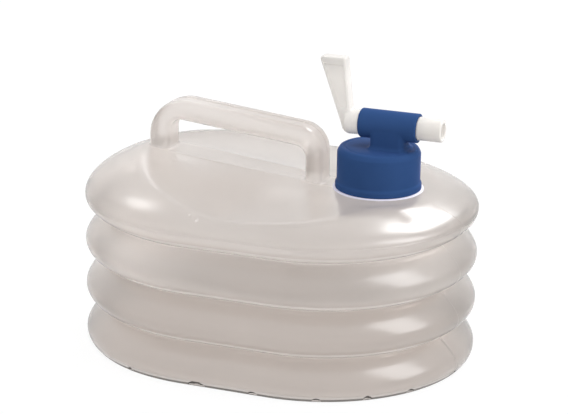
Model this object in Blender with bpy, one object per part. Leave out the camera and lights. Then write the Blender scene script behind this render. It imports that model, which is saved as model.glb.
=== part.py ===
"""Collapsible water carrier: a bellows bottle with a hollow grip, a screw cap and a lever tap.

Lengths are in metres, +Z is up, and +X points along the bottle towards the spout.
The origin is on the floor, under the middle of the bottle.
"""
import math

import bmesh
import bpy
from mathutils import Matrix, Vector

# Shared fits
SEAT_GAP = 0.0003
CUT_OVERRUN = 0.002

# Bottle outline seen from above: two half rounds joined by straight sides
HALF_STRAIGHT = 0.0305
CREST_RADIUS = 0.1055
END_STEPS = 26

# Bellows on the base pan, folded at living hinges in the valleys
BOTTLE_WALL = 0.0016
PAN_HEIGHT = 0.0045
FIRST_CREST_RISE = 0.0036
FOLD_PITCH = 0.0323
FOLD_DEPTH = 0.0150
CREST_RISE = 0.0144
LOWER_FLANK_POWER = 2.3
UPPER_FLANK_POWER = 1.7
FOLD_NAMES = ("bellows_fold_1", "bellows_fold_2", "bellows_fold_3", "bellows_fold_4")
LOWER_FLANK_SHARES = (1.0, 0.72, 0.40)
UPPER_FLANK_SHARES = (0.0, 0.30, 0.64, 1.0)
FIRST_CREST_Z = PAN_HEIGHT + FIRST_CREST_RISE
FIRST_VALLEY_Z = FIRST_CREST_Z + FOLD_PITCH - CREST_RISE
CREST_Z = FIRST_CREST_Z + FOLD_PITCH * (len(FOLD_NAMES) - 1)

# Base pan, with a foot rim and arched drain notches across it
BASE_INSET = 0.0038
PAN_RECESS = 0.0027
RIM_WIDTH = 0.0060
NOTCH_COUNT = 18
NOTCH_WIDTH = 0.0080
NOTCH_HEIGHT = 0.0022
NOTCH_STEPS = 6

# Dome of the top shell: a steep shoulder that flattens inwards, higher at the grip's end
DOME_RISE = 0.0258
DOME_RUN = 0.0320
DOME_POWER = 0.52
DOME_LOW_END_SHARE = 0.52
CREASE_ROUND = 0.0015
TOP_RINGS = 13
TOP_RING_POWER = 1.6
TOP_STRAIGHT_STEPS = 5
TOP_MIDDLE_RADIUS = 0.0020

# Where the pieces on top stand along the bottle
NECK_END_DISTANCE = 0.0663
GRIP_END_DISTANCE = 0.0420
GRIP_NECK_DISTANCE = 0.0372
NECK_X = HALF_STRAIGHT + CREST_RADIUS - NECK_END_DISTANCE
GRIP_BACK_X = GRIP_END_DISTANCE - HALF_STRAIGHT - CREST_RADIUS
GRIP_FRONT_X = NECK_X - GRIP_NECK_DISTANCE

# Ridge under the grip, and the finger recess on each side of it
RIDGE_HALF_WIDTH = 0.0130
RIDGE_RISE = 0.0257
RIDGE_SETBACK = 0.0100
RIDGE_SLOPE = 0.10
RIDGE_Z = CREST_Z + RIDGE_RISE
RIDGE_X = GRIP_BACK_X + RIDGE_SETBACK
RECESS_RISE = 0.0097
RECESS_ROUND = 0.0200
RECESS_SLOPE_BACK = 0.22
RECESS_SLOPE_FRONT = 0.085
RECESS_SPAN = 0.0800
RECESS_POWER = 2.2

# Neck, which stands on a flat platform
NECK_RADIUS = 0.0250
NECK_BORE = 0.0222
NECK_HEIGHT = 0.0234
PLATFORM_RISE = 0.0138
PLATFORM_Z = CREST_Z + PLATFORM_RISE
NECK_TOP_Z = PLATFORM_Z + NECK_HEIGHT
PLATFORM_RADIUS = 0.0370
PLATFORM_BLEND = 0.0150
ROUND_STEPS = 36

# Hollow grip, seen from the side
GRIP_BAR = 0.0142
GRIP_BACK_LEG = 0.0150
GRIP_FRONT_LEG = 0.0120
GRIP_RISE = 0.0368
GRIP_HALF_WIDTH = 0.0110
GRIP_EDGE = 0.0045
GRIP_BACK_RADIUS = 0.0260
GRIP_FRONT_RADIUS = 0.0190
GRIP_HOLE_RADIUS = 0.0080
GRIP_ROOT_RISE = 0.0070
GRIP_ROOT_Z = CREST_Z + GRIP_ROOT_RISE
GRIP_WALL = 0.0018
CORNER_STEPS = 7

# Screw cap
CAP_GAP = 0.0005
CAP_RADIUS = 0.0290
CAP_SKIRT_RADIUS = 0.0280
CAP_TOP_RADIUS = 0.0262
CAP_BAND = 0.0042
CAP_STEP = 0.0012
CAP_SIDE = 0.0245
CAP_BEVEL = 0.0036
CAP_BORE = 0.0266
CAP_LID = 0.0027
CAP_TOP_Z = PLATFORM_Z + CAP_GAP + CAP_SIDE + CAP_BEVEL

# Washer between the neck and the cap
WASHER_RADIUS = 0.0262
WASHER_BORE = 0.0195

# Tap barrel on the cap, lying along X
BARREL_BACK = 0.0129
BARREL_LENGTH = 0.0402
BARREL_RISE = 0.0151
BARREL_START_X = NECK_X - BARREL_BACK
BARREL_END_X = BARREL_START_X + BARREL_LENGTH
BARREL_Z = CAP_TOP_Z + BARREL_RISE
BARREL_RADIUS = 0.0098
BARREL_BORE = 0.0076
BARREL_LIP = 0.0006
BARREL_LIP_LENGTH = 0.0016
STUB_LENGTH = 0.0250
STUB_WIDTH = 0.0176
STUB_EDGE = 0.0030
STUB_CORNER_STEPS = 3
DRAIN_RADIUS = 0.0042
BARREL_STEPS = 28

# Tap spindle: hub with the lever, hollow shaft and spout
SPINDLE_RADIUS = 0.0073
SPINDLE_BORE = 0.0050
HUB_RADIUS = 0.0084
HUB_LENGTH = 0.0098
HUB_EDGE = 0.0012
BEAD_RADIUS = 0.0086
BEAD_LENGTH = 0.0016
SPOUT_REACH = 0.0166
SPOUT_END_X = BARREL_END_X + SPOUT_REACH
BORE_DEPTH_SHARE = 0.70
PORT_RADIUS = 0.0038

# Lever, a thick tapered paddle that stands up from the hub
LEVER_TOP_BACK = 0.0284
LEVER_ROOT_BACK = 0.0134
LEVER_FOOT_BACK = 0.0110
LEVER_HEIGHT = 0.0433
LEVER_TOP_X = BARREL_START_X - LEVER_TOP_BACK
LEVER_TOP_Z = BARREL_Z + LEVER_HEIGHT
LEVER_TOP_WIDTH = 0.0178
LEVER_ROOT_X = BARREL_START_X - LEVER_ROOT_BACK
LEVER_ROOT_WIDTH = 0.0078
LEVER_FOOT_X = BARREL_START_X - LEVER_FOOT_BACK
LEVER_FOOT_WIDTH = 0.0050
LEVER_FOOT_DROP = 0.0074
LEVER_THICKNESS = 0.0104
LEVER_EDGE = 0.0016


def clear_scene():
    for thing in list(bpy.data.objects):
        bpy.data.objects.remove(thing, do_unlink=True)


def make_material(name, color, roughness, alpha=1.0):
    material = bpy.data.materials.new(name)
    material.use_nodes = True
    shader = material.node_tree.nodes["Principled BSDF"]
    shader.inputs["Base Color"].default_value = (*color, 1.0)
    shader.inputs["Roughness"].default_value = roughness
    shader.inputs["Metallic"].default_value = 0.0
    shader.inputs["Alpha"].default_value = alpha
    return material


def make_object(name, mesh_data):
    thing = bpy.data.objects.new(name, mesh_data)
    bpy.context.scene.collection.objects.link(thing)
    return thing


def close_across(mesh, row):
    """Closes a ring of the bottle's outline with flat strips from each point to its mirror point in Y."""
    middle = END_STEPS // 2
    for here in range(middle, middle + len(row) // 2):
        corners = (here, here + 1, END_STEPS - here - 1, END_STEPS - here)
        mesh.faces.new(tuple(dict.fromkeys(row[corner % len(row)] for corner in corners)))


def loft(name, rings, closed=False, strips=False):
    """Joins rings of points that have equal counts. A closed loft runs back to its first ring."""
    mesh = bmesh.new()
    rows = [[mesh.verts.new(point) for point in ring] for ring in rings]
    pairs = list(zip(rows, rows[1:]))
    if closed:
        pairs.append((rows[-1], rows[0]))
    for low, high in pairs:
        for here in range(len(low)):
            ahead = (here + 1) % len(low)
            mesh.faces.new((low[here], low[ahead], high[ahead], high[here]))
    if not closed:
        mesh.faces.new(tuple(reversed(rows[0])))
        if strips:
            close_across(mesh, rows[-1])
        else:
            mesh.faces.new(rows[-1])
    bmesh.ops.recalc_face_normals(mesh, faces=mesh.faces[:])
    data = bpy.data.meshes.new(name)
    mesh.to_mesh(data)
    mesh.free()
    return make_object(name, data)


def combine(base, other, operation):
    """Applies one Boolean to base and deletes the other solid."""
    step = base.modifiers.new(operation.lower(), "BOOLEAN")
    step.operation = operation
    step.solver = "EXACT"
    step.object = other
    graph = bpy.context.evaluated_depsgraph_get()
    result = bpy.data.meshes.new_from_object(base.evaluated_get(graph))
    base.modifiers.clear()
    base.data = result
    bpy.data.objects.remove(other, do_unlink=True)
    return base


def finish(thing, material, origin, smooth_angle=35.0):
    """Puts the origin on the piece's own axis or seat, and sets its material and shading."""
    thing.data.transform(Matrix.Translation(-Vector(origin)))
    thing.location = origin
    thing.data.materials.clear()
    thing.data.materials.append(material)
    thing.data.shade_smooth()
    thing.data.set_sharp_from_angle(angle=math.radians(smooth_angle))
    return thing


def circle(radius, height, steps, centre_x=0.0):
    points = []
    for step in range(steps):
        angle = math.tau * step / steps
        points.append((centre_x + radius * math.cos(angle), radius * math.sin(angle), height))
    return points


def side_circle(radius, along, steps):
    """A circle round the tap's axis at the place along X."""
    points = []
    for step in range(steps):
        angle = math.tau * step / steps
        points.append((along, radius * math.cos(angle), BARREL_Z + radius * math.sin(angle)))
    return points


def outline(inset, height, straight_steps=1):
    """The bottle's outline at a height, drawn in by inset."""
    radius = CREST_RADIUS - inset
    points = []
    for side, turn in ((1.0, -0.5), (-1.0, 0.5)):
        for step in range(END_STEPS + 1):
            angle = math.pi * (turn + step / END_STEPS)
            x = side * HALF_STRAIGHT + radius * math.cos(angle)
            points.append((x, radius * math.sin(angle), height))
        for step in range(1, straight_steps):
            x = side * HALF_STRAIGHT * (1.0 - 2.0 * step / straight_steps)
            points.append((x, side * radius, height))
    return points


def outline_place(distance, inset):
    """The point and outward direction at a distance along the outline, from the middle of the front."""
    radius = CREST_RADIUS - inset
    quarter = HALF_STRAIGHT + radius * math.pi / 2
    distance = (distance + 2 * quarter) % (4 * quarter) - 2 * quarter
    mirrored = -1.0 if distance < 0 else 1.0
    distance = abs(distance)
    if distance <= HALF_STRAIGHT:
        return Vector((mirrored * distance, -radius, 0)), Vector((0, -1, 0))
    arc = radius * math.pi
    if distance <= HALF_STRAIGHT + arc:
        angle = (distance - HALF_STRAIGHT) / radius - math.pi / 2
        outward = Vector((mirrored * math.cos(angle), math.sin(angle), 0))
        return Vector((mirrored * HALF_STRAIGHT, 0, 0)) + radius * outward, outward
    back = HALF_STRAIGHT - (distance - HALF_STRAIGHT - arc)
    return Vector((mirrored * back, radius, 0)), Vector((0, 1, 0))


def crest_z(index):
    return FIRST_CREST_Z + index * FOLD_PITCH


def fold_inset(height):
    """How far the bellows surface lies inside its crests at a height."""
    index = 0
    while height > FIRST_VALLEY_Z + index * FOLD_PITCH:
        index += 1
    crest = crest_z(index)
    if height > crest:
        return FOLD_DEPTH * ((height - crest) / (FOLD_PITCH - CREST_RISE)) ** UPPER_FLANK_POWER
    if index == 0:
        return BASE_INSET * ((crest - height) / crest) ** LOWER_FLANK_POWER
    return FOLD_DEPTH * ((crest - height) / CREST_RISE) ** LOWER_FLANK_POWER


def fold_heights(index):
    """Heights of one fold's profile points, from its lower valley to its upper one."""
    crest = crest_z(index)
    start = PAN_HEIGHT + SEAT_GAP if index == 0 else crest - CREST_RISE + SEAT_GAP / 2
    last = index == len(FOLD_NAMES) - 1
    end = crest - SEAT_GAP if last else crest - CREST_RISE + FOLD_PITCH - SEAT_GAP / 2
    heights = [crest - share * (crest - start) for share in LOWER_FLANK_SHARES]
    if last:
        heights.append(end)
    else:
        heights += [crest + share * (end - crest) for share in UPPER_FLANK_SHARES]
    return heights


def build_fold(index, material):
    heights = fold_heights(index)
    outside = [outline(fold_inset(height), height) for height in heights]
    inside = [outline(fold_inset(height) + BOTTLE_WALL, height) for height in reversed(heights)]
    fold = loft(FOLD_NAMES[index], outside + inside, closed=True)
    return finish(fold, material, (0.0, 0.0, heights[0]))


def build_notch_cutters():
    """Arches that lie across the foot rim, evenly spaced round the outline."""
    inset = fold_inset(0.0)
    perimeter = 4 * HALF_STRAIGHT + math.tau * (CREST_RADIUS - inset)
    spacing = perimeter / NOTCH_COUNT
    mesh = bmesh.new()
    for index in range(NOTCH_COUNT):
        place, outward = outline_place((index + 0.5) * spacing, inset)
        sideways = Vector((-outward.y, outward.x, 0))
        arch = []
        for step in range(NOTCH_STEPS + 1):
            angle = math.pi * step / NOTCH_STEPS
            across = sideways * (NOTCH_WIDTH / 2 * math.cos(angle))
            arch.append(across + Vector((0, 0, NOTCH_HEIGHT * math.sin(angle))))
        foot = Vector((0, 0, -CUT_OVERRUN))
        arch += [arch[-1] + foot, arch[0] + foot]
        near = place + outward * (FOLD_DEPTH + CUT_OVERRUN)
        far = place - outward * (RIM_WIDTH + CUT_OVERRUN)
        front = [mesh.verts.new(near + point) for point in arch]
        back = [mesh.verts.new(far + point) for point in arch]
        for here in range(len(arch)):
            ahead = (here + 1) % len(arch)
            mesh.faces.new((front[here], front[ahead], back[ahead], back[here]))
        mesh.faces.new(tuple(reversed(front)))
        mesh.faces.new(back)
    bmesh.ops.recalc_face_normals(mesh, faces=mesh.faces[:])
    data = bpy.data.meshes.new("notches")
    mesh.to_mesh(data)
    mesh.free()
    return make_object("notches", data)


def build_base_pan(material):
    edge = fold_inset(0.0)
    rings = [outline(edge + RIM_WIDTH + PAN_RECESS, PAN_RECESS),
             outline(edge + RIM_WIDTH, 0.0),
             outline(edge, 0.0),
             outline(fold_inset(PAN_HEIGHT / 2), PAN_HEIGHT / 2),
             outline(fold_inset(PAN_HEIGHT), PAN_HEIGHT)]
    pan = loft("base_pan", rings)
    combine(pan, build_notch_cutters(), "DIFFERENCE")
    return finish(pan, material, (0.0, 0.0, 0.0))


def dome_z(x, inset):
    """Height of the shoulder, which is lower at the cap's end of the bottle."""
    half_length = HALF_STRAIGHT + CREST_RADIUS
    share = 1.0 - (1.0 - DOME_LOW_END_SHARE) * (x + half_length) / (2 * half_length)
    return CREST_Z + DOME_RISE * share * (inset / DOME_RUN) ** DOME_POWER


def ridge_z(x):
    return max(RIDGE_Z - RIDGE_SLOPE * (x - RIDGE_X), PLATFORM_Z)


def recess_z(x):
    slope = RECESS_SLOPE_BACK if x < 0 else RECESS_SLOPE_FRONT
    return CREST_Z + RECESS_RISE + slope * (math.hypot(x, RECESS_ROUND) - RECESS_ROUND)


def crown_z(x, y):
    """Height of the surface between the shoulders: ridge, finger recesses and neck platform."""
    share = min(max((abs(y) - RIDGE_HALF_WIDTH) / RECESS_SPAN, 0.0), 1.0)
    height = recess_z(x) + (ridge_z(x) - recess_z(x)) * (1.0 - share) ** RECESS_POWER
    away = (math.hypot(x - NECK_X, y) - PLATFORM_RADIUS) / PLATFORM_BLEND
    blend = min(max(1.0 - away, 0.0), 1.0)
    blend = blend * blend * (3 - 2 * blend)
    return height + (PLATFORM_Z - height) * blend


def top_z(x, y, inset):
    """Height of the top: the lower of shoulder and crown, with a rounded crease between them."""
    shoulder, crown = dome_z(x, inset), crown_z(x, y)
    share = min(max((crown - shoulder) / CREASE_ROUND / 2 + 0.5, 0.0), 1.0)
    return crown + (shoulder - crown) * share - CREASE_ROUND * share * (1.0 - share)


def top_ring(inset, wall):
    """One ring of the top surface, moved inwards by the wall along the surface's own slope."""
    points = []
    radius = CREST_RADIUS - inset
    for x, y, _ in outline(inset, 0.0, TOP_STRAIGHT_STEPS):
        centre_x = math.copysign(min(abs(x), HALF_STRAIGHT), x)
        height = top_z(x, y, inset)
        inwards, down = wall, 0.0
        if inset > 0.0:
            keep = (radius - SEAT_GAP) / radius
            ahead = top_z(centre_x + (x - centre_x) * keep, y * keep, inset + SEAT_GAP)
            steepness = (ahead - height) / SEAT_GAP
            length = math.hypot(steepness, 1.0)
            inwards, down = wall * steepness / length, wall / length
        keep = (radius - inwards) / radius
        points.append((centre_x + (x - centre_x) * keep, y * keep, height - down))
    return points


def build_top(wall, floor_z):
    """The closed top as rings that run inwards from the crest, with straight sides down to floor_z."""
    reach = CREST_RADIUS - RIDGE_HALF_WIDTH
    insets = [reach * (ring / TOP_RINGS) ** TOP_RING_POWER for ring in range(TOP_RINGS + 1)]
    insets.append(CREST_RADIUS - TOP_MIDDLE_RADIUS)
    rings = [top_ring(inset, wall) for inset in insets]
    if floor_z < CREST_Z:
        rings.insert(0, [(x, y, floor_z) for x, y, _ in rings[0]])
    return loft("top", rings, strips=True)


def fillet(before, corner, after, radius, steps):
    """Points of the round that joins two straight lines at a corner, in the side view."""
    corner = Vector(corner)
    towards_before = (Vector(before) - corner).normalized()
    towards_after = (Vector(after) - corner).normalized()
    half = towards_before.angle(towards_after) / 2
    centre = corner + (towards_before + towards_after).normalized() * (radius / math.sin(half))
    start = corner + towards_before * (radius / math.tan(half)) - centre
    end = corner + towards_after * (radius / math.tan(half)) - centre
    sweep = math.atan2(start.x * end.y - start.y * end.x, start.dot(end))
    points = []
    for step in range(steps + 1):
        angle = sweep * step / steps
        cosine, sine = math.cos(angle), math.sin(angle)
        points.append(centre + Vector((start.x * cosine - start.y * sine, start.x * sine + start.y * cosine)))
    return points


def grip_outline(inset):
    """Side outline of the grip, drawn in by inset: outside of the arch first, then the finger hole."""
    lean = math.hypot(1.0, RIDGE_SLOPE)
    top_base = RIDGE_Z + GRIP_RISE

    def top(x):
        return top_base - RIDGE_SLOPE * (x - RIDGE_X) - inset * lean

    def under(x):
        return top(x) - (GRIP_BAR - 2 * inset) * lean

    back, front = GRIP_BACK_X + inset, GRIP_FRONT_X - inset
    hole_back, hole_front = GRIP_BACK_X + GRIP_BACK_LEG - inset, GRIP_FRONT_X - GRIP_FRONT_LEG + inset
    root = GRIP_ROOT_Z
    corners = ((back, top(back)), (front, top(front)), (hole_front, under(hole_front)), (hole_back, under(hole_back)))
    points = [Vector((back, root))]
    points += fillet((back, root), corners[0], corners[1], GRIP_BACK_RADIUS - inset, CORNER_STEPS)
    points += fillet(corners[0], corners[1], (front, root), GRIP_FRONT_RADIUS - inset, CORNER_STEPS)
    points += [Vector((front, root)), Vector((hole_front, root))]
    points += fillet((hole_front, root), corners[2], corners[3], GRIP_HOLE_RADIUS + inset, CORNER_STEPS)
    points += fillet(corners[2], corners[3], (hole_back, root), GRIP_HOLE_RADIUS + inset, CORNER_STEPS)
    points.append(Vector((hole_back, root)))
    return points


def build_grip(wall):
    """The arch of the grip with rounded edges, drawn in by the wall."""
    half_width = GRIP_HALF_WIDTH - wall
    edge = GRIP_EDGE - wall
    rings = []
    for side, shares in ((-1.0, (0.0, 1.0, 2.0)), (1.0, (2.0, 1.0, 0.0))):
        for share in shares:
            angle = math.pi / 4 * share
            inset = wall + edge * (1.0 - math.sin(angle))
            y = side * (half_width - edge * (1.0 - math.cos(angle)))
            rings.append([(point.x, y, point.y) for point in grip_outline(inset)])
    return loft("grip", rings)


def build_neck(radius, bottom_z, top_z):
    rings = [circle(radius, height, ROUND_STEPS, NECK_X) for height in (bottom_z, top_z)]
    return loft("neck", rings)


def build_top_shell(material):
    """Shoulder, crown, neck and grip in one hollow moulding, open below and through the neck."""
    shell = build_top(0.0, CREST_Z)
    combine(shell, build_grip(0.0), "UNION")
    combine(shell, build_neck(NECK_RADIUS, GRIP_ROOT_Z, NECK_TOP_Z), "UNION")
    combine(shell, build_top(BOTTLE_WALL, CREST_Z - CUT_OVERRUN), "DIFFERENCE")
    combine(shell, build_grip(GRIP_WALL), "DIFFERENCE")
    combine(shell, build_neck(NECK_BORE, GRIP_ROOT_Z, NECK_TOP_Z + CUT_OVERRUN), "DIFFERENCE")
    shell.name = "top_shell"
    return finish(shell, material, (0.0, 0.0, CREST_Z))


def build_rounded_block(centre_x, half_x, half_y, edge, bottom_z, top_z):
    ring = []
    for turn, side_x, side_y in ((0, 1, 1), (1, -1, 1), (2, -1, -1), (3, 1, -1)):
        for step in range(STUB_CORNER_STEPS + 1):
            angle = math.pi / 2 * (turn + step / STUB_CORNER_STEPS)
            ring.append((centre_x + side_x * (half_x - edge) + edge * math.cos(angle),
                         side_y * (half_y - edge) + edge * math.sin(angle)))
    return loft("block", [[(x, y, height) for x, y in ring] for height in (bottom_z, top_z)])


def build_screw_cap(material):
    base_z = PLATFORM_Z + CAP_GAP
    side_z = base_z + CAP_SIDE
    top_z = CAP_TOP_Z
    ceiling_z = top_z - CAP_LID
    profile = ((CAP_BORE, ceiling_z), (CAP_BORE, base_z), (CAP_RADIUS, base_z),
               (CAP_RADIUS, base_z + CAP_BAND), (CAP_SKIRT_RADIUS, base_z + CAP_BAND + CAP_STEP),
               (CAP_SKIRT_RADIUS, side_z), (CAP_SKIRT_RADIUS - CAP_BEVEL / 4, side_z + CAP_BEVEL / 2),
               (CAP_TOP_RADIUS, top_z - CAP_BEVEL / 8), (CAP_TOP_RADIUS - CAP_BEVEL / 3, top_z))
    cap = loft("screw_cap", [circle(radius, height, ROUND_STEPS, NECK_X) for radius, height in profile])
    barrel_middle = (BARREL_START_X + BARREL_END_X) / 2
    stub = build_rounded_block(barrel_middle, STUB_LENGTH / 2, STUB_WIDTH / 2, STUB_EDGE,
                               (top_z + ceiling_z) / 2, BARREL_Z)
    combine(cap, stub, "UNION")
    lip_start = BARREL_END_X - BARREL_LIP_LENGTH
    barrel_profile = ((BARREL_RADIUS - BARREL_LIP, BARREL_START_X), (BARREL_RADIUS, BARREL_START_X + BARREL_LIP),
                      (BARREL_RADIUS, lip_start - BARREL_LIP), (BARREL_RADIUS + BARREL_LIP, lip_start),
                      (BARREL_RADIUS + BARREL_LIP, BARREL_END_X))
    combine(cap, loft("barrel", [side_circle(radius, along, BARREL_STEPS) for radius, along in barrel_profile]),
            "UNION")
    bore_ends = (BARREL_START_X - CUT_OVERRUN, BARREL_END_X + CUT_OVERRUN)
    combine(cap, loft("bore", [side_circle(BARREL_BORE, along, BARREL_STEPS) for along in bore_ends]),
            "DIFFERENCE")
    drain = [circle(DRAIN_RADIUS, height, ROUND_STEPS // 2, barrel_middle)
             for height in (ceiling_z - CUT_OVERRUN, BARREL_Z)]
    combine(cap, loft("drain", drain), "DIFFERENCE")
    return finish(cap, material, (NECK_X, 0.0, base_z))


def build_cap_washer(material):
    low_z = NECK_TOP_Z + SEAT_GAP
    high_z = CAP_TOP_Z - CAP_LID - SEAT_GAP
    corners = ((WASHER_BORE, low_z), (WASHER_RADIUS, low_z), (WASHER_RADIUS, high_z), (WASHER_BORE, high_z))
    rings = [circle(radius, height, ROUND_STEPS, NECK_X) for radius, height in corners]
    washer = loft("cap_washer", rings, closed=True)
    return finish(washer, material, (NECK_X, 0.0, low_z))


def build_lever():
    """The paddle, lofted upwards through rounded sections from its foot on the hub to its top edge."""
    half = LEVER_THICKNESS / 2
    sections = ((LEVER_FOOT_X, LEVER_FOOT_WIDTH, half / 2, BARREL_Z - LEVER_FOOT_DROP),
                ((LEVER_FOOT_X + LEVER_ROOT_X) / 2, (LEVER_FOOT_WIDTH + LEVER_ROOT_WIDTH) / 2,
                 half - LEVER_EDGE / 2, BARREL_Z - LEVER_FOOT_DROP * 2 / 3),
                (LEVER_ROOT_X, LEVER_ROOT_WIDTH, half, BARREL_Z),
                (LEVER_TOP_X, LEVER_TOP_WIDTH, half, LEVER_TOP_Z - LEVER_EDGE),
                (LEVER_TOP_X + LEVER_EDGE / 2, LEVER_TOP_WIDTH - LEVER_EDGE, half - LEVER_EDGE / 2, LEVER_TOP_Z))
    rings = []
    for start_x, width, half_y, height in sections:
        end_x = start_x + width
        edge = LEVER_EDGE
        rings.append([(start_x, -half_y + edge, height), (start_x + edge, -half_y, height),
                      (end_x - edge, -half_y, height), (end_x, -half_y + edge, height),
                      (end_x, half_y - edge, height), (end_x - edge, half_y, height),
                      (start_x + edge, half_y, height), (start_x, half_y - edge, height)])
    return loft("lever", rings)


def build_tap_spindle(material):
    hub_end = BARREL_START_X - SEAT_GAP
    hub_start = hub_end - HUB_LENGTH
    bead_start = BARREL_END_X + SEAT_GAP
    profile = ((HUB_RADIUS - HUB_EDGE, hub_start), (HUB_RADIUS, hub_start + HUB_EDGE), (HUB_RADIUS, hub_end),
               (SPINDLE_RADIUS, hub_end), (SPINDLE_RADIUS, bead_start), (BEAD_RADIUS, bead_start),
               (BEAD_RADIUS, bead_start + BEAD_LENGTH), (SPINDLE_RADIUS, bead_start + 2 * BEAD_LENGTH),
               (SPINDLE_RADIUS, SPOUT_END_X - HUB_EDGE / 2), (SPINDLE_RADIUS - HUB_EDGE / 2, SPOUT_END_X))
    spindle = loft("tap_spindle", [side_circle(radius, along, BARREL_STEPS) for radius, along in profile])
    combine(spindle, build_lever(), "UNION")
    bore_start = SPOUT_END_X - BORE_DEPTH_SHARE * (SPOUT_END_X - hub_start)
    bore_ends = (bore_start, SPOUT_END_X + CUT_OVERRUN)
    combine(spindle, loft("bore", [side_circle(SPINDLE_BORE, along, BARREL_STEPS // 2 * 2) for along in bore_ends]),
            "DIFFERENCE")
    port_x = (BARREL_START_X + BARREL_END_X) / 2
    port = []
    for y in (-SPINDLE_RADIUS - CUT_OVERRUN, 0.0):
        ring = []
        for step in range(ROUND_STEPS // 2):
            angle = math.tau * step / (ROUND_STEPS // 2)
            ring.append((port_x + PORT_RADIUS * math.cos(angle), y, BARREL_Z + PORT_RADIUS * math.sin(angle)))
        port.append(ring)
    combine(spindle, loft("port", port), "DIFFERENCE")
    return finish(spindle, material, (BARREL_START_X, 0.0, BARREL_Z))


def main():
    clear_scene()
    frosted = make_material("frosted_polyethylene", (0.72, 0.68, 0.65), 0.32, 0.75)
    blue = make_material("blue_polyethylene", (0.028, 0.085, 0.30), 0.30)
    white = make_material("white_polypropylene", (0.80, 0.78, 0.75), 0.38)
    seal = make_material("soft_seal", (0.62, 0.62, 0.60), 0.70)
    build_base_pan(frosted)
    for index in range(len(FOLD_NAMES)):
        build_fold(index, frosted)
    build_top_shell(frosted)
    build_screw_cap(blue)
    build_cap_washer(seal)
    build_tap_spindle(white)


main()
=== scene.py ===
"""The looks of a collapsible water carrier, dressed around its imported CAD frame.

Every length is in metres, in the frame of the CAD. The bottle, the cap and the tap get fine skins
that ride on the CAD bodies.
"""
import math

import bmesh
import bpy
import numpy as np
from mathutils import Matrix, Quaternion, Vector


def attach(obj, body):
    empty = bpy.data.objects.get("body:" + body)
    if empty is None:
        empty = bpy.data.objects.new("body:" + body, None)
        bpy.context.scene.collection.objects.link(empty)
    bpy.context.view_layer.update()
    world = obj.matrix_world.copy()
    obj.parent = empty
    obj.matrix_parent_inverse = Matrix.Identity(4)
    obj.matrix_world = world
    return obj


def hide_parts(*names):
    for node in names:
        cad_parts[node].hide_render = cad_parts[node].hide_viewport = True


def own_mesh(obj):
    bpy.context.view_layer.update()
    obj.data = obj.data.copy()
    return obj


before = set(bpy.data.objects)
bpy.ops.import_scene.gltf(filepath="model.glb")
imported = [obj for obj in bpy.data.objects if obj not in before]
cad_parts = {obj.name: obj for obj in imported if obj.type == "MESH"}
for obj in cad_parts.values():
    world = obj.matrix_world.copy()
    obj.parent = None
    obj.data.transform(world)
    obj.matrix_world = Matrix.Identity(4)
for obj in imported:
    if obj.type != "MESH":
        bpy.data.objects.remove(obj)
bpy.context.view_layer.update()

# Bottle outline and bellows, as in the CAD
HALF_STRAIGHT = 0.0305
CREST_RADIUS = 0.1055
END_STEPS = 84
STRAIGHT_STEPS = 20
FIRST_VALLEY_Z = 0.0260
FOLD_PITCH = 0.0323
FOLD_DEPTH = 0.0150
CREST_RISE = 0.0144
LOWER_POWER = 2.3
UPPER_POWER = 1.7
LOBES = 4
CREST_Z = FIRST_VALLEY_Z + FOLD_PITCH * (LOBES - 2) + CREST_RISE  # of the top lobe
CREST_SOFTNESS = 0.16
FLANK_STEPS = 13
LOWEST_FLANK_STEPS = FLANK_STEPS // 2 + 1
WALL = 0.0016
# Between these shares of the way from a crest down to its valley a light line is painted on the
# plastic
PAINTED_LIGHT_SHARES = (0.53, 0.72)
HINGE_HALF_HEIGHT = 0.0007
HINGE_RELIEF = 0.0001

# The mould's parting line: a fine bead, whose foot lies SEAM_ROOT times its height under the skin.
# SEAM_UPWARD tells its outer side where the line runs almost level.
SEAM_TURN = math.radians(-10.5)
SEAM_HALF_WIDTH = 0.00040
SEAM_HEIGHT = 0.00015
SEAM_ROOT = 1.5
SEAM_UPWARD = Vector((0, 0, 0.3))
SEAM_STEPS = 32
SEAM_POWER = 1.6
# Side and how far the line runs in over the top there
SEAM_REACHES = ((1.0, 0.022), (-1.0, 0.034))
GRIP_SEAM_Y = 0.0015

# Base pan
BASE_INSET = 0.0038
PAN_HEIGHT = 0.0045
PAN_RECESS = 0.0027
PAN_EDGE_WIDTH = 0.004
RIM_WIDTH = 0.0060
RIM_ROUND = 0.0010
# Distance inwards from the rim's inner side, then from its outer side, and height
RIM_INNER_EDGE = ((0.0016, 0.0012), (0.0004, 0.0003), (-0.0004, 0.0))
RIM_OUTER_EDGE = ((RIM_ROUND, 0.0), (0.0003, 0.0002))
FOOT_STEPS = 1440
FOOT_LOW_Z = 0.0005
FOOT_SHADOW_Z = 0.0028  # up to here the foot carries a painted contact shadow
NOTCH_DEPTH = 0.0014
NOTCH_FLOOR_Z = 0.0010
NOTCH_PRESS_WIDTH = 0.0007
NOTCH_FIRST_ROW = 0.0001  # over the notch's floor
NOTCH_ROW_HEIGHT = 0.0002
NOTCH_ROWS = 15
# A notch's inner wall is shaded above the first share of its height, where it also lies outside
# the arch whose squared size is the second
NOTCH_SHADE_RISE = 0.20
NOTCH_SHADE_REACH = 0.16
FOOT_SHADOW_PRESS_LIMIT = 0.5  # the foot's painted shadow band ends where the wall is pressed in this far
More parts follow.
